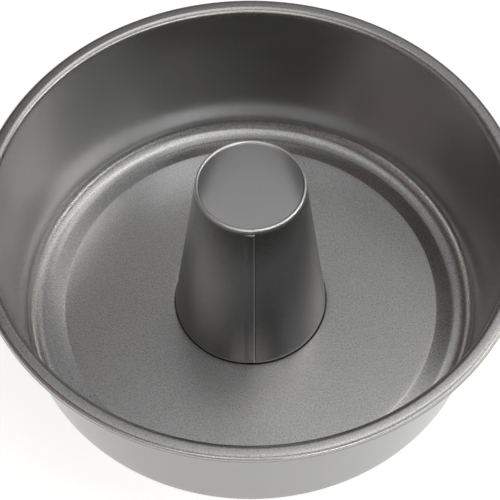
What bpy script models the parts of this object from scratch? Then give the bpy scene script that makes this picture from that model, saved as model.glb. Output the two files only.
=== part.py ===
"""Ring cake pan with plain walls: a drawn steel shell with a rolled rim, the wire that the
rim is rolled around, and a tapered tube of rolled sheet whose foot is crimped through the
floor. Metres, +Z up. The origin is on the pan's axis, on the surface that it stands on."""

import math

import bmesh
import bpy

# Sheets, wire and the clearance between pieces that touch
SHELL_SHEET = 0.0008
TUBE_SHEET = 0.0005
WIRE_RADIUS = 0.0013
FIT_GAP = 0.0003

# Shell: mouth, height and base
MOUTH_RADIUS = 0.1143       # inside the rim
PAN_HEIGHT = 0.0759         # standing surface to the top of the rim
STANDING_RADIUS = 0.0972    # outer edge of the flat ring that the pan stands on
STANDING_WIDTH = 0.0010     # width of that ring
BASE_FILLET = 0.0072        # inside radius of the bends on both sides of that ring
STEP_RUN = 0.0082           # width of the slope up to the floor disc
STEP_BEND = 0.0012          # rounding at the top of that slope
RIM_WIDTH = 0.0077          # from the mouth to the outside of the rim
RIM_BEND = 0.0029           # outside radius between the wall and the rim's flat top
RIM_END_GAP = 0.00035       # between the end of the rim's roll and the wall

# Crimp that holds the tube in the floor
NECK_RADIUS = 0.0342        # outside of the tube, where it passes through the floor
COLLAR_BEND = 0.0012        # bend that turns the floor down round the tube
COLLAR_LIP = 0.0002         # straight end of that collar
FLANGE_BEND = 0.0005
FLANGE_REACH = 0.0023       # how far the crimped flange reaches out under the floor
FOOT_CLEARANCE = 0.0005     # how far that flange stays above the standing surface
SHOULDER_WRAP = math.radians(50)    # part of the collar's bend that the shoulder covers
SHOULDER_BEND = 0.0006

# Tube: top and seam
TUBE_HEIGHT = 0.0950        # standing surface to the top of the curl
TUBE_TOP_RADIUS = 0.02415   # outside of the curled top
CURL_RADIUS = 0.00095       # outside of the curl's section
CURL_WRAP = math.radians(270)
SEAM_AZIMUTH = math.radians(-88.5)  # -90 degrees is the front
LAP_WIDTH = 0.0020          # raised sheet at the seam
LAP_RAMP = 0.0006           # slope on its left side
LAP_TOP_GAP = 0.0027        # from the top of the curl down to the end of the lap
LAP_SINK = 0.0002           # how deep the lap's body starts inside the wall

WIRE_BUTT_GAP = 0.0005      # between the two ends of the wire

# Colours and gloss
COATING_COLOUR = (0.40, 0.392, 0.385)
COATING_ROUGHNESS = 0.30
STEEL_COLOUR = (0.55, 0.55, 0.56)
STEEL_ROUGHNESS = 0.35

# Facets
SHELL_FACETS = 72
TUBE_FACETS = 48
WIRE_BEVEL_STEPS = 2
RIM_BEND_STEPS = 5
ROLL_STEPS = 9
CURL_STEPS = 9
FILLET_STEPS = 7
COLLAR_STEPS = 3
BEND_STEPS = 2
MERGE_DISTANCE = 0.00001

# Heights that follow from the crimp and the sheets, each at the middle of its sheet
FLANGE_LEVEL = FOOT_CLEARANCE + TUBE_SHEET / 2
COLLAR_END = FLANGE_LEVEL + TUBE_SHEET / 2 + FIT_GAP
FLOOR_LEVEL = COLLAR_END + COLLAR_LIP + COLLAR_BEND
BASE_LEVEL = SHELL_SHEET / 2

# Bends of the tube's sheet, each to the middle of the sheet
SHOULDER_WRAP_RADIUS = COLLAR_BEND + SHELL_SHEET / 2 + FIT_GAP + TUBE_SHEET / 2
CURL_BEND = CURL_RADIUS - TUBE_SHEET / 2

# Circles that the shell's sheet follows, in the (radius, height) half plane
RIM_BEND_CENTRE = (MOUTH_RADIUS + RIM_BEND, PAN_HEIGHT - RIM_BEND)
ROLL_RADIUS = WIRE_RADIUS + FIT_GAP + SHELL_SHEET
ROLL_CENTRE = (MOUTH_RADIUS + RIM_WIDTH - ROLL_RADIUS, PAN_HEIGHT - ROLL_RADIUS)
FILLET_RADIUS = BASE_FILLET + SHELL_SHEET / 2
FILLET_CENTRE = (STANDING_RADIUS, BASE_LEVEL + FILLET_RADIUS)
COLLAR_RADIUS = NECK_RADIUS + FIT_GAP + SHELL_SHEET / 2
COLLAR_CENTRE = (COLLAR_RADIUS + COLLAR_BEND, FLOOR_LEVEL - COLLAR_BEND)

QUARTER = math.pi / 2


def polar(centre, radius, angle):
    """Point at an angle on a circle."""
    return (centre[0] + radius * math.cos(angle), centre[1] + radius * math.sin(angle))


def arc(centre, radius, start, end, steps):
    """Points along a circle from one angle to another."""
    return [polar(centre, radius, start + (end - start) * i / steps) for i in range(steps + 1)]


def tangent_angle(low, low_radius, high, high_radius):
    """Angle of the outward normal of the line that touches both circles. A radius is
    positive where the circle lies on the inner side of the line, negative on the outer."""
    run = high[0] - low[0]
    rise = high[1] - low[1]
    lean = math.acos((low_radius - high_radius) / math.hypot(run, rise))
    return math.atan2(rise, run) - lean


def unit(start, end):
    """Direction from one point to another, with length one."""
    length = math.dist(start, end)
    return ((end[0] - start[0]) / length, (end[1] - start[1]) / length)


def sheet_outline(path, sheet):
    """Closed outline of a sheet whose middle follows the path. It runs out along the
    left side of the path and back along the right side, so it turns clockwise."""
    left = []
    right = []
    for i, (radius, height) in enumerate(path):
        before = unit(path[i - 1], path[i]) if i > 0 else unit(path[0], path[1])
        after = unit(path[i], path[i + 1]) if i + 1 < len(path) else before
        side = (-before[1] - after[1], before[0] + after[0])
        stretch = sheet / 2 / (side[0] * -before[1] + side[1] * before[0])
        left.append((radius + side[0] * stretch, height + side[1] * stretch))
        right.append((radius - side[0] * stretch, height - side[1] * stretch))
    return left + right[::-1]


def shell_path():
    """Middle of the shell's sheet, from the collar round the tube to the end of the rim."""
    slope = math.atan2(FLOOR_LEVEL - BASE_LEVEL, STEP_RUN)
    trims = (STEP_BEND + FILLET_RADIUS) * math.tan(slope / 2)
    foot = STANDING_RADIUS - STANDING_WIDTH
    top = foot - trims - STEP_RUN
    wall = tangent_angle(FILLET_CENTRE, FILLET_RADIUS, RIM_BEND_CENTRE, SHELL_SHEET / 2 - RIM_BEND)
    wall_foot = polar(FILLET_CENTRE, FILLET_RADIUS + SHELL_SHEET / 2, wall)
    end_level = PAN_HEIGHT - 2 * ROLL_RADIUS + SHELL_SHEET / 2
    wall_rise = end_level + SHELL_SHEET / 2 - wall_foot[1]
    end_radius = wall_foot[0] - wall_rise * math.tan(wall) + RIM_END_GAP
    path = [(COLLAR_RADIUS, COLLAR_END)]
    path += arc(COLLAR_CENTRE, COLLAR_BEND, math.pi, QUARTER, COLLAR_STEPS)
    path += arc((top, FLOOR_LEVEL - STEP_BEND), STEP_BEND, QUARTER, QUARTER - slope, BEND_STEPS)
    path += arc((foot, FILLET_CENTRE[1]), FILLET_RADIUS, -QUARTER - slope, -QUARTER, BEND_STEPS)
    path += arc(FILLET_CENTRE, FILLET_RADIUS, -QUARTER, wall, FILLET_STEPS)
    path += arc(RIM_BEND_CENTRE, RIM_BEND - SHELL_SHEET / 2, wall + math.pi, QUARTER, RIM_BEND_STEPS)
    path += arc(ROLL_CENTRE, ROLL_RADIUS - SHELL_SHEET / 2, QUARTER, -QUARTER, ROLL_STEPS)
    path += [(end_radius, end_level)]
    return path


def tube_circles():
    """Centres of the tube's shoulder and curl, and the angle of the cone wall's normal."""
    shoulder_start = polar(COLLAR_CENTRE, SHOULDER_WRAP_RADIUS, math.pi - SHOULDER_WRAP)
    shoulder = polar(shoulder_start, SHOULDER_BEND, math.pi - SHOULDER_WRAP)
    curl = (TUBE_TOP_RADIUS - CURL_RADIUS, TUBE_HEIGHT - CURL_RADIUS)
    normal = tangent_angle(shoulder, SHOULDER_BEND, curl, CURL_BEND)
    return shoulder, curl, normal


def tube_path():
    """Middle of the tube's sheet, from the flange under the floor to the end of the curl."""
    shoulder, curl, normal = tube_circles()
    neck = NECK_RADIUS - TUBE_SHEET / 2
    flange = (neck + FLANGE_BEND, FLANGE_LEVEL + FLANGE_BEND)
    path = [(NECK_RADIUS + FLANGE_REACH, FLANGE_LEVEL)]
    path += arc(flange, FLANGE_BEND, -QUARTER, -math.pi, BEND_STEPS)
    path += arc(COLLAR_CENTRE, SHOULDER_WRAP_RADIUS, math.pi, math.pi - SHOULDER_WRAP, BEND_STEPS)
    path += arc(shoulder, SHOULDER_BEND, -SHOULDER_WRAP, normal, BEND_STEPS)[1:]
    path += arc(curl, CURL_BEND, normal, normal + CURL_WRAP, CURL_STEPS)
    return path


def metal(name, colour, roughness):
    """Bare or coated metal with one colour and gloss."""
    material = bpy.data.materials.new(name)
    material.use_nodes = True
    shader = material.node_tree.nodes["Principled BSDF"]
    shader.inputs["Base Color"].default_value = (*colour, 1.0)
    shader.inputs["Metallic"].default_value = 1.0
    shader.inputs["Roughness"].default_value = roughness
    return material


def place(name, data, material):
    """Object in the scene with its material."""
    piece = bpy.data.objects.new(name, data)
    bpy.context.scene.collection.objects.link(piece)
    data.materials.append(material)
    return piece


def turned(name, path, sheet, facets, material):
    """Sheet turned about the pan's axis, from the path of its middle."""
    outline = sheet_outline(path, sheet)
    mesh = bpy.data.meshes.new(name)
    corners = [(radius, 0.0, height) for radius, height in outline]
    mesh.from_pydata(corners, [(i, (i + 1) % len(corners)) for i in range(len(corners))], [])
    piece = place(name, mesh, material)
    screw = piece.modifiers.new("turn", "SCREW")
    screw.steps = facets
    screw.render_steps = facets
    screw.use_merge_vertices = True
    screw.merge_threshold = MERGE_DISTANCE
    return piece


def pan_shell(material):
    return turned("pan_shell", shell_path(), SHELL_SHEET, SHELL_FACETS, material)


def rim_wire(material):
    """Wire ring inside the rim, bent from a rod whose ends meet at the back."""
    curve = bpy.data.curves.new("rim_wire", "CURVE")
    curve.dimensions = "3D"
    curve.bevel_depth = WIRE_RADIUS
    curve.bevel_resolution = WIRE_BEVEL_STEPS
    curve.use_fill_caps = True
    butt = WIRE_BUTT_GAP / 2 / ROLL_CENTRE[0]
    angles = [QUARTER + 2 * math.pi * i / SHELL_FACETS for i in range(SHELL_FACETS + 1)]
    angles[0] += butt
    angles[-1] -= butt
    spline = curve.splines.new("POLY")
    spline.points.add(len(angles) - 1)
    for point, angle in zip(spline.points, angles):
        x, y = polar((0.0, 0.0), ROLL_CENTRE[0], angle)
        point.co = (x, y, ROLL_CENTRE[1], 1.0)
    return place("rim_wire", curve, material)


def seam_lap(material):
    """Raised strip along the tube where the sheet's end laps over its beginning. Its
    section has a slope on the left and the sheet's cut edge on the right."""
    shoulder, curl, normal = tube_circles()
    low = polar(shoulder, SHOULDER_BEND + TUBE_SHEET / 2, normal)
    high = polar(curl, CURL_RADIUS, normal)
    share = (high[1] - (TUBE_HEIGHT - LAP_TOP_GAP)) / (high[1] - low[1])
    top = (high[0] + (low[0] - high[0]) * share, TUBE_HEIGHT - LAP_TOP_GAP)
    section = [(-LAP_WIDTH / 2 - LAP_RAMP, -LAP_SINK), (-LAP_WIDTH / 2, TUBE_SHEET),
               (LAP_WIDTH / 2, TUBE_SHEET), (LAP_WIDTH / 2, -LAP_SINK)]
    outward = (math.cos(SEAM_AZIMUTH), math.sin(SEAM_AZIMUTH))
    mesh = bmesh.new()
    rings = []
    for radius, height in (low, top):
        ring = []
        for across, raised in section:
            x = outward[0] * (radius + raised) - outward[1] * across
            y = outward[1] * (radius + raised) + outward[0] * across
            ring.append(mesh.verts.new((x, y, height)))
        rings.append(ring)
    for i in range(len(section)):
        j = (i + 1) % len(section)
        mesh.faces.new((rings[0][i], rings[0][j], rings[1][j], rings[1][i]))
    mesh.faces.new(rings[0])
    mesh.faces.new(rings[1])
    bmesh.ops.recalc_face_normals(mesh, faces=mesh.faces)
    data = bpy.data.meshes.new("seam_lap")
    mesh.to_mesh(data)
    mesh.free()
    strip = place("seam_lap", data, material)
    strip.hide_render = True
    strip.display_type = "WIRE"
    return strip


def centre_tube(material):
    """Tapered tube with its curled top, its seam and the crimp that grips the floor."""
    tube = turned("centre_tube", tube_path(), TUBE_SHEET, TUBE_FACETS, material)
    union = tube.modifiers.new("seam", "BOOLEAN")
    union.operation = "UNION"
    union.object = seam_lap(material)
    return tube


def main():
    for old in list(bpy.data.objects):
        bpy.data.objects.remove(old)
    coating = metal("grey_coating", COATING_COLOUR, COATING_ROUGHNESS)
    steel = metal("wire_steel", STEEL_COLOUR, STEEL_ROUGHNESS)
    pan_shell(coating)
    rim_wire(steel)
    centre_tube(coating)


main()
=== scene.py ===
"""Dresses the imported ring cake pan: its two coated steel sheets, the rim wire and the studio."""

import math

import bpy
import numpy as np
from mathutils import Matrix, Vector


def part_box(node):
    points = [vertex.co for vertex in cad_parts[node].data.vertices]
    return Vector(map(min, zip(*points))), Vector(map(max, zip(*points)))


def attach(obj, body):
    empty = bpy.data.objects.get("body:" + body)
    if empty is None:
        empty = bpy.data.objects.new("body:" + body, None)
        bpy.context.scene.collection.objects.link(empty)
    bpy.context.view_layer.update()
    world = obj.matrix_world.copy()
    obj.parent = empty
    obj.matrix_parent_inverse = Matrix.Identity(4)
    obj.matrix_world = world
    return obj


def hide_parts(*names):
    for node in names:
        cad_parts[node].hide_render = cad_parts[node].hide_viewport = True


bl_info = {
    "name": "Ring cake pan",
    "version": (1, 0, 0),
    "blender": (4, 5, 0),
    "location": "3D View > Sidebar > Cake pan",
    "description": "Builds the coated ring cake pan round its packed frame",
    "category": "Add Mesh",
}

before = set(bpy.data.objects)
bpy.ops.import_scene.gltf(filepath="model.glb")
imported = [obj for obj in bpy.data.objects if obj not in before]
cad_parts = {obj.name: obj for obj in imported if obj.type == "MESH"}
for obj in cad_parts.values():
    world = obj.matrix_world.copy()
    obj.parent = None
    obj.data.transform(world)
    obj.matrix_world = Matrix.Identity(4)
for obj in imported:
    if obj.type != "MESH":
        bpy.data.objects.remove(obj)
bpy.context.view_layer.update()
SHELL_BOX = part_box("pan_shell")
TUBE_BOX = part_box("centre_tube")

QUARTER = math.pi / 2
BODY = "root"

# How finely the sheets are drawn: metres along the section, and steps round a sheet's end
BEND_SPACING = 0.00035
FLAT_SPACING = 0.0024
END_STEPS = 6
SAME_POINT = 0.0000001
SHARP_EDGE = math.radians(50)

# The shell's outside faces this way, as (outwards, up). A face has none of the outside's
# tone where it faces that way up to the first share, and all of it from the second.
OUTSIDE_WAY = np.array((0.8, -0.6))
OUTSIDE_SHARES = (0.35, 0.65)

# How the tube's columns crowd at its seam, the extra columns at the lap's cut edge, and the
# finer rows at the lap's top
SEAM_CROWDING = 0.8
SEAM_RADIUS = 0.030
SEAM_REACH = 0.4
EDGE_COLUMNS = (-0.0004, -0.00032, -0.00024, -0.00016, -0.0001, -0.00005, -0.00002, 0.0, 0.00001)
LAP_SPACING = 0.00009
LAP_ZONE = 0.0048

# The lap: height where it starts, length in which it rises there, its cut edges' rounding,
# and the bare metal along its side edge, whose tone is lightened as a painted highlight
LAP_FOOT = 0.0036
LAP_RUN_IN = 0.0008
SIDE_ROUND = 0.00042
TOP_ROUND = 0.00025
EDGE_WIDTH = 0.0003
EDGE_FADE = 0.00015
EDGE_BARE_AND_HIGHLIGHT = 1.5

# The crevice beside the lap, and the painted shade that darkens its tone
CREVICE_WIDTH = 0.0004
CREVICE_DEPTH = 0.00018
CREVICE_SHADE = 0.6

# The recess above the lap, with the lengths in which its left side, foot and top fade
RECESS_DEPTH = 0.0004
RECESS_HEIGHT = 0.0013
RECESS_SIDE = 0.0001
RECESS_FOOT = 0.00012
RECESS_TOP = 0.0004

# The low bead under the curl
BEAD_DROP = 0.0022
BEAD_WIDTH = 0.00035
BEAD_RISE = 0.00004

# The curl's left end over its right one: its rise, how far that fades to the left and ends
# on the right, and its start and full height in curl radii below the top
CURL_LAP = 0.00012
CURL_LAP_REACH = 0.010
CURL_LAP_END = 0.0005
CURL_LAP_BAND = (2.2, 1.2)

# How much finer flakes blur the gloss: their noise's range, and the share of the blur
FLAKE_RANGE = (0.3, 0.7)
GLOSS_RANGE = (0.9, 1.1)

# Scratches in a metre of the wire, the darkest one's tone, and the wire's range of blur
WIRE_SCRATCHES = 900.0
WIRE_DARK = 0.85
WIRE_BLUR = (0.28, 0.5)

# Soft lamps round the pan: azimuth and elevation in degrees with 270 at the camera's side,
# width and height in metres, glow and colour
LAMP_DISTANCE = 1.6
LAMPS = {
    "edge_right": (355, 22, 0.8, 0.2, 6.1, (0.99, 1.0, 0.95)),
    "edge_front_right": (325, 22, 0.8, 0.2, 3.9, (0.96, 1.0, 0.94)),
    "edge_front": (295, 22, 0.8, 0.2, 5.4, (1.0, 0.99, 0.92)),
    "back_right": (30, 31, 0.8, 0.35, 0.75, (1.0, 1.0, 0.96)),
    "left": (202.5, 30, 1.17, 0.6, 0.32, (1.0, 0.82, 0.81)),
    "front_left": (247.5, 30, 1.17, 0.6, 0.9, (1.0, 0.96, 0.92)),
    "high_back_right": (22.5, 52, 0.85, 0.71, 0.95, (1.0, 0.98, 0.96)),
    "high_back": (67.5, 52, 0.85, 0.71, 0.18, (0.93, 0.98, 1.0)),
    "high_right": (337.5, 52, 0.85, 0.71, 0.53, (0.96, 0.99, 1.0)),
    "top": (0, 90, 1.3, 1.3, 0.55, (0.98, 0.99, 1.0)),
    "top_right": (45, 72, 0.5, 0.5, 1.3, (1.0, 0.97, 0.92)),
    "top_front": (315, 75, 0.45, 0.45, 1.0, (1.0, 1.0, 1.0)),
    "top_back": (84, 68, 0.35, 0.3, 0.35, (0.9, 0.95, 1.0)),
    "back": (90, 50, 0.7, 0.25, 0.23, (1.0, 0.95, 0.94)),
    "front": (270, 45, 1.0, 0.4, 1.4, (1.0, 0.95, 0.9)),
}
CLIP_START = 0.01


# Sections of bent sheet, as arrays of (radius, height)


def arc(centre, radius, start, end, spacing=BEND_SPACING):
    """Part of a circle: the centre plus the radius times (cosine, sine) of even angles."""
    steps = max(2, math.ceil(abs(end - start) * abs(radius) / spacing))
    angles = np.linspace(start, end, steps + 1)
    return np.asarray(centre) + radius * np.stack((np.cos(angles), np.sin(angles)), axis=1)


def polar(centre, radius, angle):
    """Point at an angle on a circle."""
    return centre[0] + radius * math.cos(angle), centre[1] + radius * math.sin(angle)


def tangent_angle(low, low_radius, high, high_radius):
    """Angle of the outward normal of the line that touches two circles. A radius is
    negative where its circle lies on the outer side of the line."""
    run = high[0] - low[0]
    rise = high[1] - low[1]
    lean = math.acos((low_radius - high_radius) / math.hypot(run, rise))
    return math.atan2(rise, run) - lean


def split_flats(points, spacing=FLAT_SPACING):
    """The same outline with each long stretch cut into equal steps: every point plus its
    share of the way to the next. The spacing is one length, or one for each stretch."""
    ahead = np.roll(points, -1, axis=0) - points
    counts = np.maximum(1, np.ceil(np.linalg.norm(ahead, axis=1) / spacing)).astype(int)
    owner = np.repeat(np.arange(len(points)), counts)
    first = np.cumsum(counts) - counts
    part = (np.arange(len(owner)) - first[owner]) / counts[owner]
    return points[owner] + part[:, None] * ahead[owner]


def sheet_sides(bends, sheet):
    """Both faces of a sheet that runs from bend to bend. A bend is (centre, radius, start,
    end, turn), with turn 1 to the left and -1 to the right. A face is the same arcs with
    their radius changed by half the sheet."""
    faces = []
    for side in (1, -1):
        arcs = [arc(c, r - side * turn * sheet / 2, a, b) for c, r, a, b, turn in bends]
        faces.append(np.concatenate(arcs))
    return faces


def closed_section(left, right):
    """Closed outline: along the left face, round the sheet's end on a half circle, back
    along the right face and round the other end. A point that repeats the one before it
    is left out."""
    ends = []
    for near, far in ((left[-1], right[-1]), (right[0], left[0])):
        middle = (near + far) / 2
        arm = near - middle
        ahead = np.array((arm[1], -arm[0]))
        angles = np.linspace(0, math.pi, END_STEPS + 1)[1:-1, None]
        ends.append(middle + np.cos(angles) * arm + np.sin(angles) * ahead)
    outline = np.concatenate((left, ends[0], right[::-1], ends[1]))
    steps = np.linalg.norm(outline - np.roll(outline, 1, axis=0), axis=1)
    return outline[steps > SAME_POINT]


def outward_normals(outline):
    """Normal of a closed outline at each point, as (outwards, up): the way from the point
    before to the point after, turned a quarter left and made one long."""
    along = np.roll(outline, -1, axis=0) - np.roll(outline, 1, axis=0)
    left = np.stack((-along[:, 1], along[:, 0]), axis=1)
    return left / np.linalg.norm(along, axis=1)[:, None]


# Surfaces


def smooth(value, low, high):
    """Rises from 0 to 1 between two limits, level at both: three squares less two cubes."""
    x = np.clip((value - low) / (high - low), 0.0, 1.0)
    return x * x * (3 - 2 * x)


def turned_mesh(name, radius, height, angle, marks):
    """Closed surface of revolution from arrays over (section, turn): x and y are the
    radius times the cosine and sine of the angle, and z is the height. Each mark is a
    number for each point, which the material reads."""
    radius, height, angle = np.broadcast_arrays(radius, height, angle)
    points = np.stack((radius * np.cos(angle), radius * np.sin(angle), height), axis=2)
    rows, columns = radius.shape
    index = np.arange(rows * columns).reshape(rows, columns)
    below = np.roll(index, -1, axis=0)
    quads = np.stack((index, below, np.roll(below, -1, axis=1), np.roll(index, -1, axis=1)), axis=2)
    mesh = bpy.data.meshes.new(name)
    mesh.from_pydata(points.reshape(-1, 3), [], quads.reshape(-1, 4))
    for key, values in marks.items():
        numbers = np.broadcast_to(values, radius.shape).astype(np.float32)
        mesh.attributes.new(key, "FLOAT", "POINT").data.foreach_set("value", numbers.ravel())
    mesh.shade_smooth()
    mesh.set_sharp_from_angle(angle=SHARP_EDGE)
    return mesh


def place(name, mesh, material, slot, *nodes):
    """Puts a finished piece into the scene, in the place of its CAD nodes."""
    piece = bpy.data.objects.new(name, mesh)
    bpy.context.scene.collection.objects.link(piece)
    mesh.materials.append(material)
    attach(piece, BODY)
    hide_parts(*nodes)
    return piece


# Materials


def new_material(name):
    """New material, with its node tree and its shader."""
    material = bpy.data.materials.new(name)
    material.use_nodes = True
    tree = material.node_tree
    return material, tree, tree.nodes["Principled BSDF"]


def feed(tree, value, socket):
    """Gives an input another node's output, or a plain value."""
    if isinstance(value, bpy.types.NodeSocket):
        tree.links.new(value, socket)
    else:
        socket.default_value = value


def add_node(tree, kind, *inputs, **settings):
    """New shader node. Its first inputs come in order. The settings are its properties,
    and inputs under their names."""
    node = tree.nodes.new(kind)
    for value, socket in zip(inputs, node.inputs):
        feed(tree, value, socket)
    for key, value in settings.items():
        if hasattr(node, key):
            setattr(node, key, value)
        else:
            feed(tree, value, node.inputs[key])
    return node


def combine(tree, operation, *values):
    """Result of a math operation on outputs and numbers."""
    return add_node(tree, "ShaderNodeMath", *values, operation=operation).outputs[0]


def remap(tree, value, source, target):
    """A value moved from one range to another."""
    return add_node(tree, "ShaderNodeMapRange", value, *source, *target).outputs["Result"]


def blend(tree, factor, low, high):
    """Colour that goes from one to another with a factor."""
    node = add_node(tree, "ShaderNodeMix", factor, data_type="RGBA")
    for socket, colour in zip(node.inputs[6:8], (low, high)):
        socket.default_value = (*colour, 1.0)
    return node.outputs[2]


def noise(tree, scale, detail):
    """Soft noise in the piece's own place, with this many spots in a metre."""
    spot = add_node(tree, "ShaderNodeTexCoord").outputs["Object"]
    node = add_node(tree, "ShaderNodeTexNoise", Vector=spot, Scale=scale, Detail=detail)
    return node.outputs["Fac"]


def mark(tree, name):
    """One of the marks of the mesh."""
    return add_node(tree, "ShaderNodeAttribute", attribute_name=name).outputs["Fac"]


def satin_coating(name, look):
    """Grey release coating over steel. The mesh's blur mark gives its gloss, a slow cloud
    varies its tone, and as far as its grain mark says, fine flakes lean and tint it."""
    material, tree, shader = new_material(name)
    shader.inputs["Metallic"].default_value = 1.0
    grain = mark(tree, "grain")
    flakes = noise(tree, scale=1.0 / look.grain_size, detail=1.0)
    cloud = noise(tree, scale=1.0 / look.cloud_size, detail=2.0)
    low, high = ([c * (1 + side * look.cloud_depth) for c in look.colour] for side in (-1, 1))
    flecks = combine(tree, "MULTIPLY", combine(tree, "SUBTRACT", flakes, 0.5), grain)
    speckle = combine(tree, "MULTIPLY_ADD", flecks, look.speckle, 1.0)
    shade = combine(tree, "MULTIPLY", speckle, mark(tree, "tone"))
    clouded = blend(tree, cloud, low, high)
    flecked = add_node(tree, "ShaderNodeVectorMath", clouded, operation="SCALE", Scale=shade)
    feed(tree, flecked.outputs["Vector"], shader.inputs["Base Color"])
    gloss = remap(tree, flakes, FLAKE_RANGE, GLOSS_RANGE)
    feed(tree, combine(tree, "MULTIPLY", mark(tree, "blur"), gloss), shader.inputs["Roughness"])
    bump = add_node(tree, "ShaderNodeBump", Strength=grain, Distance=look.grain_depth, Height=flakes)
    feed(tree, bump.outputs["Normal"], shader.inputs["Normal"])
    return material


def drawn_steel(name, colour):
    """Bare steel wire, finely scratched by the drawing die."""
    material, tree, shader = new_material(name)
    shader.inputs["Metallic"].default_value = 1.0
    scratches = noise(tree, scale=WIRE_SCRATCHES, detail=3.0)
    tone = blend(tree, scratches, [c * WIRE_DARK for c in colour], colour)
    feed(tree, tone, shader.inputs["Base Color"])
    feed(tree, remap(tree, scratches, (0.0, 1.0), WIRE_BLUR), shader.inputs["Roughness"])
    return material


def studio_white(name, look):
    """Pale floor that a camera or a mirror sees as white, and that still takes shadow."""
    material, tree, shader = new_material(name)
    shader.inputs["Base Color"].default_value = (*look.floor_colour, 1.0)
    shader.inputs["Roughness"].default_value = look.floor_blur
    shader.inputs["Specular IOR Level"].default_value = 0.0
    shader.inputs["Emission Color"].default_value = (1.0, 1.0, 1.0, 1.0)
    path = add_node(tree, "ShaderNodeLightPath").outputs
    seen = combine(tree, "MAXIMUM", path["Is Camera Ray"], path["Is Glossy Ray"])
    seen = combine(tree, "MAXIMUM", seen, path["Is Transmission Ray"])
    feed(tree, combine(tree, "MULTIPLY", seen, look.floor_glow), shader.inputs["Emission Strength"])
    return material


def soft_lamp(name, azimuth, elevation, width, height, glow, colour):
    """Panel that faces the pan's foot. Its power is its glow times pi times its area."""
    around = math.radians(azimuth)
    up = math.radians(elevation)
    light = bpy.data.lights.new(name, "AREA")
    light.shape = "RECTANGLE"
    light.size = width
    light.size_y = height
    light.energy = glow * math.pi * width * height
    light.color = colour
    lamp = bpy.data.objects.new(name, light)
    outward = (math.cos(up) * math.cos(around), math.cos(up) * math.sin(around), math.sin(up))
    lamp.location = [LAMP_DISTANCE * c for c in outward]
    lamp.rotation_euler = (QUARTER - up, 0.0, around + QUARTER)
    lamp.visible_camera = False
    bpy.context.scene.collection.objects.link(lamp)


# What a user may change


def length(name, description, default):
    """Size in metres."""
    return bpy.props.FloatProperty(
        name=name, description=description, default=default, min=0.0, unit="LENGTH", precision=5
    )


def turn(name, description, degrees):
    """Angle, given in degrees."""
    return bpy.props.FloatProperty(
        name=name, description=description, default=math.radians(degrees), unit="ROTATION"
    )


def share(name, description, default, top=1.0):
    """Factor from 0 up."""
    return bpy.props.FloatProperty(
        name=name, description=description, default=default, min=0.0, max=top, subtype="FACTOR"
    )


def tint(name, description, default):
    """Colour."""
    return bpy.props.FloatVectorProperty(
        name=name, description=description, default=default, min=0.0, max=1.0, subtype="COLOR"
    )


def count(name, description, default):
    """Number of faces round a turned piece."""
    return bpy.props.IntProperty(name=name, description=description, default=default, min=24)


class ShellSizes(bpy.types.PropertyGroup):
    """Sizes of the drawn shell, from its rim to its collar."""

    sheet: length("Sheet", "Thickness of the shell's steel", 0.0008)
    mouth: length("Mouth radius", "Radius inside the rim", 0.1143)
    rim: length("Rim radius", "Radius over the rolled rim", SHELL_BOX[1].x)
    height: length("Height", "Standing surface to the top of the rim", SHELL_BOX[1].z)
    standing: length("Standing radius", "Outer edge of the ring that the pan stands on", 0.0972)
    standing_width: length("Standing width", "Width of that ring", 0.0010)
    fillet: length("Base rounding", "Inside radius on both sides of the ring", 0.0072)
    step_run: length("Step width", "Width of the slope up to the floor", 0.0082)
    step_bend: length("Step rounding", "Rounding at the top of the slope", 0.0012)
    rim_bend: length("Rim bend", "Outside radius between the wall and the rim's flat top", 0.0029)
    rim_edge: length("Rim edge", "Outside radius of the rim's rolled edge", 0.0024)
    rim_gap: length("Rim end gap", "From the end of the rim's roll to the wall", 0.00035)
    columns: count("Columns", "Faces round the shell", 336)


class TubeSizes(bpy.types.PropertyGroup):
    """Sizes of the rolled tube, its crimped foot and its seam."""

    sheet: length("Sheet", "Thickness of the tube's steel", 0.0005)
    height: length("Height", "Standing surface to the top of the curl", TUBE_BOX[1].z)
    top: length("Top radius", "Outside of the curled top", 0.02415)
    curl: length("Curl radius", "Outside of the curl's section", 0.0008)
    curl_wrap: turn("Curl turn", "How far the curl goes round", 270)
    neck: length("Neck radius", "Outside of the tube where it passes the floor", 0.0342)
    gap: length("Gap", "Clearance between tube and collar", 0.0003)
    collar_bend: length("Collar bend", "Bend that turns the floor down", 0.0012)
    collar_lip: length("Collar lip", "Straight end of the collar", 0.0002)
    flange_bend: length("Flange bend", "Bend of the crimped flange", 0.0005)
    flange_reach: length("Flange reach", "How far the flange goes out under the floor", 0.0023)
    foot: length("Foot clearance", "Flange above the standing surface", 0.0005)
    shoulder_wrap: turn("Shoulder wrap", "Part of the collar's bend under the shoulder", 50)
    shoulder_bend: length("Shoulder bend", "Bend from the shoulder to the cone", 0.0006)
    seam: turn("Seam", "Where the sheet laps, with -90 degrees at the front", -88.5)
    lap_width: length("Lap width", "Width of the raised sheet at the seam", 0.0020)
    lap_ramp: length("Lap slope", "Width of the slope on the lap's left side", 0.0032)
    lap_drop: length("Lap top", "From the top of the curl down to the lap's end", 0.0027)
    columns: count("Columns", "Faces round the tube", 300)


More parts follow.
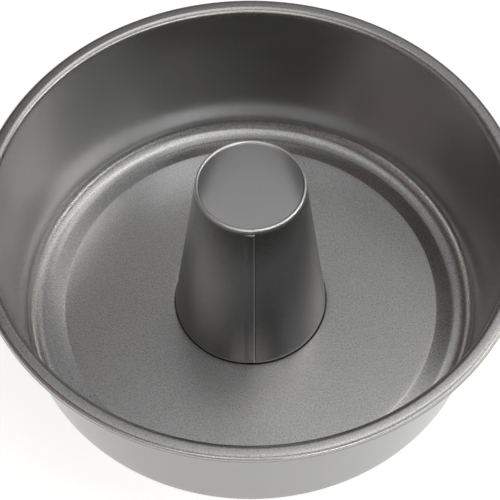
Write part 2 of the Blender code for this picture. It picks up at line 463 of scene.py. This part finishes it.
class CoatingLook(bpy.types.PropertyGroup):
    """Colour and gloss of the coating."""

    colour: tint("Colour", "Colour of the coated steel", (0.56, 0.56, 0.56))
    floor_blur: share("Floor blur", "Blur of reflections in the floor and its ring", 0.29)
    wall_blur: share("Wall blur", "Blur of reflections in the wall", 0.20)
    rim_blur: share("Rim blur", "Blur of reflections in the rim and the curl", 0.30)
    tube_blur: share("Tube blur", "Blur of reflections in the outside of the tube", 0.25)
    bore_blur: share("Bore blur", "Blur of reflections inside the tube", 0.38)
    grain_size: length("Grain size", "Size of the flakes in the coating", 0.00038)
    grain_depth: length("Grain depth", "Height of the flakes", 0.000012)
    outside: share("Outside tone", "Tone of the shell's outside as a share of its inside", 0.5)
    tube_tone: share("Tube tone", "Tone of the tube's outside as a share of the colour", 0.56)
    bore_tone: share("Bore tone", "Tone of the tube's inside as a share of the colour", 0.58)
    # The curl's tone is 1.5 times the colour, lighter than the rest of the tube
    curl_tone: share("Curl tone", "Tone of the worn curl as a share of the colour", 1.5, 2.0)
    speckle: share("Speckle", "How much the flakes tint the coating", 1.6, 4.0)
    rim_grain: share("Rim grain", "How much of the floor's grain the rim has", 0.8)
    wall_grain: share("Wall grain", "How much of the floor's grain the wall has", 0.12)
    cloud_size: length("Cloud size", "Size of the slow tone changes", 0.03)
    cloud_depth: share("Cloud depth", "Strength of the slow tone changes", 0.03)
    steel: tint("Wire colour", "Colour of the bare wire", (0.55, 0.55, 0.56))


class StudioLook(bpy.types.PropertyGroup):
    """Floor, lamps and camera."""

    floor_size: length("Floor size", "Side of the floor", 6.0)
    floor_colour: tint("Floor colour", "Colour of the floor", (0.8, 0.8, 0.8))
    floor_blur: share("Floor blur", "Blur of reflections in the floor", 0.9)
    floor_glow: share("Floor glow", "Light of its own that the camera sees", 0.72)
    sky: tint("Room colour", "Light from the room", (0.084, 0.077, 0.073))
    lens: bpy.props.FloatProperty(
        name="Lens", description="Focal length in millimetres", default=133.85, min=1.0
    )
    camera_place: bpy.props.FloatVectorProperty(
        name="Camera",
        description="Place of the camera",
        default=(-0.0003, -0.4637, 0.7423),
        unit="LENGTH",
    )
    camera_pitch: turn("Camera pitch", "How far the camera looks down", 56.4)


# The shell


def floor_heights(tube):
    """Middle of the sheet in the tube's flange, at the collar's end and in the floor."""
    flange = tube.foot + tube.sheet / 2
    collar_end = flange + tube.sheet / 2 + tube.gap
    return flange, collar_end, collar_end + tube.collar_lip + tube.collar_bend


def collar_centre(shell, tube):
    """Centre of the bend that turns the floor down round the tube."""
    floor = floor_heights(tube)[2]
    radius = tube.neck + tube.gap + shell.sheet / 2
    return radius + tube.collar_bend, floor - tube.collar_bend


def shell_section(shell, tube):
    """Section of the shell: collar, floor, slope, standing ring, fillet, wall and rim."""
    collar_end, floor = floor_heights(tube)[1:]
    base = shell.sheet / 2
    slope = math.atan2(floor - base, shell.step_run)
    fillet = shell.fillet + base
    trims = (fillet + shell.step_bend) * math.tan(slope / 2)
    foot = shell.standing - shell.standing_width
    top = foot - trims - shell.step_run
    collar = collar_centre(shell, tube)
    corner = (shell.standing, base + fillet)
    rim_bend = (shell.mouth + shell.rim_bend, shell.height - shell.rim_bend)
    edge = (shell.rim - shell.rim_edge, shell.height - shell.rim_edge)
    wall = tangent_angle(corner, fillet, rim_bend, base - shell.rim_bend)
    wall_foot = polar(corner, fillet + base, wall)
    rim_end = shell.height - 2 * shell.rim_edge + base
    rim_end_radius = wall_foot[0] - (rim_end + base - wall_foot[1]) * math.tan(wall) + shell.rim_gap
    bends = [
        ((collar[0] - tube.collar_bend, collar_end), 0.0, math.pi, math.pi, -1),
        (collar, tube.collar_bend, math.pi, QUARTER, -1),
        ((top, floor - shell.step_bend), shell.step_bend, QUARTER, QUARTER - slope, -1),
        ((foot, base + fillet), fillet, -QUARTER - slope, -QUARTER, 1),
        (corner, fillet, -QUARTER, wall, 1),
        (rim_bend, shell.rim_bend - base, wall + math.pi, QUARTER, -1),
        (edge, shell.rim_edge - base, QUARTER, -QUARTER, -1),
        ((rim_end_radius, rim_end), 0.0, -QUARTER, -QUARTER, -1),
    ]
    return closed_section(*sheet_sides(bends, shell.sheet))


def shell_marks(shell, look, outline):
    """Marks for the shell's coating: the floor and the rim have their own blur and grain,
    and the outside has its own tone."""
    height = outline[:, 1:]
    in_floor = 1 - smooth(height, shell.fillet / 2, shell.fillet)
    in_rim = smooth(height, shell.height - 2 * shell.rim_edge, shell.height - shell.rim_bend)
    blur = look.wall_blur + in_floor * (look.floor_blur - look.wall_blur)
    blur = blur + in_rim * (look.rim_blur - look.wall_blur)
    grain = np.maximum(np.maximum(in_floor, in_rim * look.rim_grain), look.wall_grain)
    outside = smooth(outward_normals(outline) @ OUTSIDE_WAY, *OUTSIDE_SHARES)[:, None]
    return {"blur": blur, "grain": grain, "tone": 1 - (1 - look.outside) * outside}


# The tube


def tube_faces(shell, tube):
    """Inner and outer face of the tube's sheet, from the flange under the floor to the
    end of the curl."""
    flange_level = floor_heights(tube)[0]
    collar = collar_centre(shell, tube)
    wrap = tube.collar_bend + shell.sheet / 2 + tube.gap + tube.sheet / 2
    shoulder_start = polar(collar, wrap, math.pi - tube.shoulder_wrap)
    shoulder = polar(shoulder_start, tube.shoulder_bend, math.pi - tube.shoulder_wrap)
    curl_bend = tube.curl - tube.sheet / 2
    curl = (tube.top - tube.curl, tube.height - tube.curl)
    normal = tangent_angle(shoulder, tube.shoulder_bend, curl, curl_bend)
    neck = tube.neck - tube.sheet / 2
    flange = (neck + tube.flange_bend, flange_level + tube.flange_bend)
    bends = [
        ((tube.neck + tube.flange_reach, flange_level), 0.0, -QUARTER, -QUARTER, -1),
        (flange, tube.flange_bend, -QUARTER, -math.pi, -1),
        (collar, wrap, math.pi, math.pi - tube.shoulder_wrap, -1),
        (shoulder, tube.shoulder_bend, -tube.shoulder_wrap, normal, 1),
        (curl, curl_bend, normal, normal + tube.curl_wrap, 1),
    ]
    return sheet_sides(bends, tube.sheet)


def tube_section(tube, inner, outer):
    """Section of the tube, with finer steps round the top of the lap."""
    outline = split_flats(closed_section(inner, outer))
    in_lap_zone = np.abs(outline[:, 1] - tube.height + tube.lap_drop) < LAP_ZONE
    return split_flats(outline, np.where(in_lap_zone, LAP_SPACING, FLAT_SPACING))


def outer_share(tube, outer, radius, height):
    """1 on the tube's outer face and 0 elsewhere. There the radius, carried down the cone's
    slope to the foot, comes within half a sheet of the outer face's foot."""
    foot = outer[np.argmax(outer[:, 0] * (outer[:, 1] > LAP_FOOT))]
    carried = radius + (height - foot[1]) * (foot[0] - tube.top) / (tube.height - tube.curl - foot[1])
    return (carried > foot[0] - tube.sheet / 2) * 1.0


def seam_columns(tube):
    """Turn of each column from the seam. Even turns t become t less the crowding times
    sin t, and a few more stand at the lap's cut edge."""
    even = (np.arange(tube.columns) / tube.columns - 0.5) * 2 * math.pi
    crowded = even - SEAM_CROWDING * np.sin(even)
    edge = (tube.lap_width / 2 + np.array(EDGE_COLUMNS)) / SEAM_RADIUS
    return np.sort(np.concatenate((crowded, edge)))


def seam_angle(radius, turned):
    """Angle of each column on a circle of each radius. Beside the seam a column keeps its
    distance from it, as the cone narrows; the share of this falls off as a bell curve."""
    near = np.exp(-((turned / SEAM_REACH) ** 2))
    return turned * (1 + (SEAM_RADIUS / radius - 1) * near)


def cut_edge(inside, rounding, sheet):
    """Share of a sheet's thickness at a distance inside its cut edge: nothing outside, then
    a wall, then a quarter circle up to the face."""
    rise = np.clip(inside / rounding, 0.0, 1.0)
    curve = np.sqrt(1 - (1 - rise) ** 2)
    return np.where(inside > 0, 1 - rounding / sheet * (1 - curve), 0.0)


def lap_rise(tube, height, across):
    """Height of the lap: one sheet, less a slope on its left and its cut edges' rounding on
    its right and top."""
    half = tube.lap_width / 2
    slope = smooth(across, -half - tube.lap_ramp, -half)
    side = cut_edge(half - across, SIDE_ROUND, tube.sheet)
    top = cut_edge(tube.height - tube.lap_drop - height, TOP_ROUND, tube.sheet)
    return slope * side * top * tube.sheet


def crevice_fall(tube, height, across):
    """Depth of the crevice on the lap's right, a parabola across, up to the recess's top."""
    beside = (across - tube.lap_width / 2 - CREVICE_WIDTH / 2) / (CREVICE_WIDTH / 2)
    below = height < tube.height - tube.lap_drop + RECESS_HEIGHT
    return CREVICE_DEPTH * np.clip(1 - beside**2, 0.0, 1.0) * below


def recess_share(tube, height, across):
    """Share of the recess's depth above the lap: 1 inside, with a smooth fade on each side."""
    half = tube.lap_width / 2
    above = height - tube.height + tube.lap_drop
    left = smooth(across, -half - RECESS_SIDE, -half + RECESS_SIDE)
    right = smooth(-across, -half - CREVICE_WIDTH, -half)
    foot = smooth(above, 0.0, RECESS_FOOT)
    top = smooth(-above, -RECESS_HEIGHT, RECESS_TOP - RECESS_HEIGHT)
    return left * right * foot * top


def curl_lap_rise(tube, height, across):
    """Rise of the curl's left end, which dies away to the left and ends at the seam."""
    fade = np.exp(np.minimum(across, 0.0) / CURL_LAP_REACH)
    end = 1 - smooth(across, 0.0, CURL_LAP_END)
    low, high = (tube.height - radii * tube.curl for radii in CURL_LAP_BAND)
    return CURL_LAP * fade * end * smooth(height, low, high)


def seam_relief(tube, height, turned, outside):
    """How far the sheet stands off the plain cone and curl, as arrays (outwards, up). The
    cone has the lap less its crevice and recess, and a bell-shaped bead under the curl.
    The lapped curl stands off outwards and down."""
    across = turned * SEAM_RADIUS
    on_cone = smooth(height, LAP_FOOT, LAP_FOOT + LAP_RUN_IN) * (height < tube.height - 2 * tube.curl)
    recess = recess_share(tube, height, across)
    lap = lap_rise(tube, height, across) - crevice_fall(tube, height, across) - RECESS_DEPTH * recess
    bead = BEAD_RISE * np.exp(-(((height - tube.height + BEAD_DROP) / BEAD_WIDTH) ** 2)) * (1 - recess)
    lapped = curl_lap_rise(tube, height, across)
    return outside * (on_cone * lap + bead + lapped), -lapped


def tube_marks(tube, look, height, turned, outside):
    """Marks for the tube's coating: bore, outside and curl have their own blur and tone, the
    lap's cut edge is bare metal with a painted highlight, and the crevice beside it has painted shade."""
    in_curl = smooth(height, tube.height - 3 * tube.curl, tube.height - 2 * tube.curl)
    blur = look.bore_blur + outside * (look.tube_blur - look.bore_blur)
    blur = blur + in_curl * (look.rim_blur - blur)
    tone = look.bore_tone + outside * (look.tube_tone - look.bore_tone)
    tone = tone + in_curl * (look.curl_tone - tone)
    beside = turned * SEAM_RADIUS - tube.lap_width / 2
    # The band along the lap's right cut edge is bare metal, with a painted highlight that lightens its
    # tone
    bare = smooth(beside, -EDGE_WIDTH - EDGE_FADE, -EDGE_WIDTH) * (beside <= 0)
    # Painted shade darkens the tone in the crevice on the lap's right
    crevice_shade = smooth(-beside, -CREVICE_WIDTH, -CREVICE_WIDTH / 2) * (beside > 0)
    on_lap = outside * (height > LAP_FOOT) * (height < tube.height - tube.lap_drop)
    # On the lap, the cut edge is lightened (bare metal and painted highlight) and the crevice beside
    # it is darkened (painted shade)
    tone = tone * (1 + on_lap * (EDGE_BARE_AND_HIGHLIGHT * bare - CREVICE_SHADE * crevice_shade))
    return {"blur": blur, "grain": look.wall_grain, "tone": tone}


class PAN_OT_shell(bpy.types.Operator):
    """Builds the drawn shell with its floor, wall and rolled rim"""

    bl_idname = "pan.shell"
    bl_label = "Shell"

    def execute(self, context):
        shell = context.scene.pan_shell
        look = context.scene.pan_coating
        outline = split_flats(shell_section(shell, context.scene.pan_tube))
        angle = np.arange(shell.columns) * 2 * math.pi / shell.columns
        marks = shell_marks(shell, look, outline)
        mesh = turned_mesh("shell_sheet", outline[:, :1], outline[:, 1:], angle[None, :], marks)
        place("shell_sheet", mesh, satin_coating("shell_coating", look), "shell_coating", "pan_shell")
        return {"FINISHED"}


class PAN_OT_tube(bpy.types.Operator):
    """Builds the rolled tube with its curl, lap seam and crimped foot"""

    bl_idname = "pan.tube"
    bl_label = "Centre tube"

    def execute(self, context):
        tube = context.scene.pan_tube
        look = context.scene.pan_coating
        inner, outer = tube_faces(context.scene.pan_shell, tube)
        outline = tube_section(tube, inner, outer)
        radius, height = outline[:, :1], outline[:, 1:]
        outside = outer_share(tube, outer, radius, height)
        turned = seam_columns(tube)[None, :]
        out, up = seam_relief(tube, height, turned, outside)
        angle = tube.seam + seam_angle(radius, turned)
        marks = tube_marks(tube, look, height, turned, outside)
        mesh = turned_mesh("tube_sheet", radius + out, height + up, angle, marks)
        place("tube_sheet", mesh, satin_coating("tube_coating", look), "tube_coating", "centre_tube")
        return {"FINISHED"}


class PAN_OT_wire(bpy.types.Operator):
    """Gives the wire inside the rim its drawn steel"""

    bl_idname = "pan.wire"
    bl_label = "Rim wire"

    def execute(self, context):
        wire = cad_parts["rim_wire"]
        wire.data.materials.clear()
        wire.data.materials.append(drawn_steel("wire_steel", context.scene.pan_coating.steel))
        return {"FINISHED"}


class PAN_OT_studio(bpy.types.Operator):
    """Sets up the white floor, the soft lamps and the camera"""

    bl_idname = "pan.studio"
    bl_label = "Studio"

    def execute(self, context):
        scene = context.scene
        look = scene.pan_studio
        half = look.floor_size / 2
        mesh = bpy.data.meshes.new("studio_floor")
        corners = np.array(((-half, -half, 0), (half, -half, 0), (half, half, 0), (-half, half, 0)))
        mesh.from_pydata(corners, [], [(0, 1, 2, 3)])
        mesh.materials.append(studio_white("studio_white", look))
        floor = bpy.data.objects.new("studio_floor", mesh)
        scene.collection.objects.link(floor)
        world = bpy.data.worlds.new("room")
        world.use_nodes = True
        world.node_tree.nodes["Background"].inputs["Color"].default_value = (*look.sky, 1.0)
        scene.world = world
        for name, lamp in LAMPS.items():
            soft_lamp(name, *lamp)
        camera = bpy.data.objects.new("camera", bpy.data.cameras.new("camera"))
        camera.data.lens = look.lens
        camera.data.clip_start = CLIP_START
        camera.location = look.camera_place
        camera.rotation_euler = (QUARTER - look.camera_pitch, 0.0, 0.0)
        scene.collection.objects.link(camera)
        scene.camera = camera
        scene.view_settings.view_transform = "Standard"
        return {"FINISHED"}


class PAN_PT_panel(bpy.types.Panel):
    """Sizes, colours and steps of the ring cake pan"""

    bl_label = "Cake pan"
    bl_idname = "PAN_PT_panel"
    bl_space_type = "VIEW_3D"
    bl_region_type = "UI"
    bl_category = "Cake pan"

    def draw(self, context):
        for group in GROUPS:
            box = self.layout.box()
            for key in GROUPS[group].__annotations__:
                box.prop(getattr(context.scene, group), key)
        for step in STEPS:
            self.layout.operator(step.bl_idname)


GROUPS = {
    "pan_shell": ShellSizes,
    "pan_tube": TubeSizes,
    "pan_coating": CoatingLook,
    "pan_studio": StudioLook,
}
STEPS = (PAN_OT_shell, PAN_OT_tube, PAN_OT_wire, PAN_OT_studio)
CLASSES = (*GROUPS.values(), *STEPS, PAN_PT_panel)


def register():
    for item in CLASSES:
        bpy.utils.register_class(item)
    for key, group in GROUPS.items():
        setattr(bpy.types.Scene, key, bpy.props.PointerProperty(type=group))


def unregister():
    for key in GROUPS:
        delattr(bpy.types.Scene, key)
    for item in reversed(CLASSES):
        bpy.utils.unregister_class(item)


def main():
    register()
    bpy.ops.pan.shell()
    bpy.ops.pan.tube()
    bpy.ops.pan.wire()
    bpy.ops.pan.studio()


if __name__ == "__main__":
    main()
